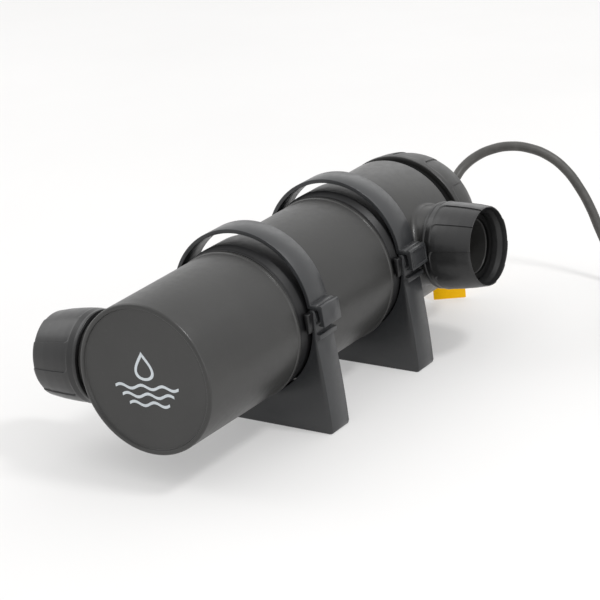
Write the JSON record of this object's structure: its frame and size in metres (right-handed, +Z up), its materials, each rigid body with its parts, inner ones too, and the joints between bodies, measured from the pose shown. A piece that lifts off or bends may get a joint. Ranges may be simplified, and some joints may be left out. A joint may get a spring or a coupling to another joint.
{
  "type": "uv clarifier",
  "caption": "In-line ultraviolet pond clarifier: tube vessel in hinged clamps, union nuts on opposite side ports, screw cap holding a slide-out lamp insert, mains cord with coil and plug.",
  "frame": {"origin": "centre of the bounding box's footprint, at floor level, measured without the cord, coil, plug and tag", "axes": "+Y along the vessel from its plain face to the screw cap, +X towards the outlet port, +Z up"},
  "size_m": [0.3662, 0.4044, 0.1203],
  "materials": {
    "dark_grey_plastic": "satin moulded plastic",
    "clamp_plastic": "satin moulded plastic",
    "nut_plastic": "satin gloss moulded plastic",
    "black_plastic": "satin",
    "black_rubber": "matt",
    "cord_rubber": "matt",
    "quartz": "clear polished",
    "lamp_glass": "clear polished",
    "white_plastic": "satin",
    "circuit_board": "satin varnish",
    "steel": "brushed",
    "nickel": "polished",
    "yellow_plastic": "satin"
  },
  "bodies": {
    "vessel_body": {"vessel": "dark_grey_plastic", "neck_gasket": "black_rubber", "inlet_gasket": "black_rubber", "outlet_gasket": "black_rubber", "front_saddle": "clamp_plastic", "rear_saddle": "clamp_plastic", "front_strap_pin": "steel", "rear_strap_pin": "steel"},
    "front_strap": {"front_strap": "clamp_plastic"},
    "rear_strap": {"rear_strap": "clamp_plastic"},
    "inlet_nut": {"inlet_nut": "nut_plastic"},
    "outlet_nut": {"outlet_nut": "nut_plastic"},
    "lamp_insert": {"insert_housing": "black_plastic", "housing_o_ring": "black_rubber", "cover_gasket": "black_rubber", "back_cover": "black_plastic", "cover_screw_1": "steel", "cover_screw_2": "steel", "cover_screw_3": "steel", "quartz_sleeve": "quartz", "sleeve_o_ring": "black_rubber", "sleeve_nut": "black_plastic", "uvc_lamp": "lamp_glass", "lamp_base": "white_plastic", "lamp_holder": "white_plastic", "ballast_board": "circuit_board", "ballast_choke": "black_plastic", "ballast_capacitor": "black_plastic", "terminal_block": "white_plastic", "cable_gland": "black_plastic", "cord_boot": "black_rubber", "power_cord": "cord_rubber", "cord_coil": "cord_rubber", "cord_tail": "cord_rubber", "coil_tie": "black_plastic", "mains_plug": "cord_rubber", "plug_pin_1": "nickel", "plug_pin_2": "nickel", "warning_tag": "yellow_plastic", "tag_loop": "black_plastic"},
    "cap": {"cap_nut": "nut_plastic"}
  },
  "joints": [
    {"name": "front_strap_hinge", "type": "hinge", "parent": "vessel_body", "child": "front_strap", "pos_m": [-0.052, -0.0547, 0.0725], "axis": [0, -1, 0], "range_deg": [0, 110]},
    {"name": "rear_strap_hinge", "type": "hinge", "parent": "vessel_body", "child": "rear_strap", "pos_m": [-0.052, 0.0488, 0.0725], "axis": [0, -1, 0], "range_deg": [0, 110]},
    {"name": "inlet_nut_spin", "type": "hinge", "parent": "vessel_body", "child": "inlet_nut", "pos_m": [0, -0.1318, 0.0635], "axis": [-0.9957, 0, -0.0924], "continuous": true},
    {"name": "outlet_nut_spin", "type": "hinge", "parent": "vessel_body", "child": "outlet_nut", "pos_m": [0, 0.0873, 0.0635], "axis": [0.9957, 0, 0.0924], "continuous": true},
    {"name": "lamp_insert_slide", "type": "slide", "parent": "vessel_body", "child": "lamp_insert", "axis": [0, 1, 0], "range_m": [0, 0.22]},
    {"name": "cap_spin", "type": "hinge", "parent": "lamp_insert", "child": "cap", "pos_m": [0, 0.137, 0.0635], "axis": [0, 1, 0], "continuous": true}
  ]
}
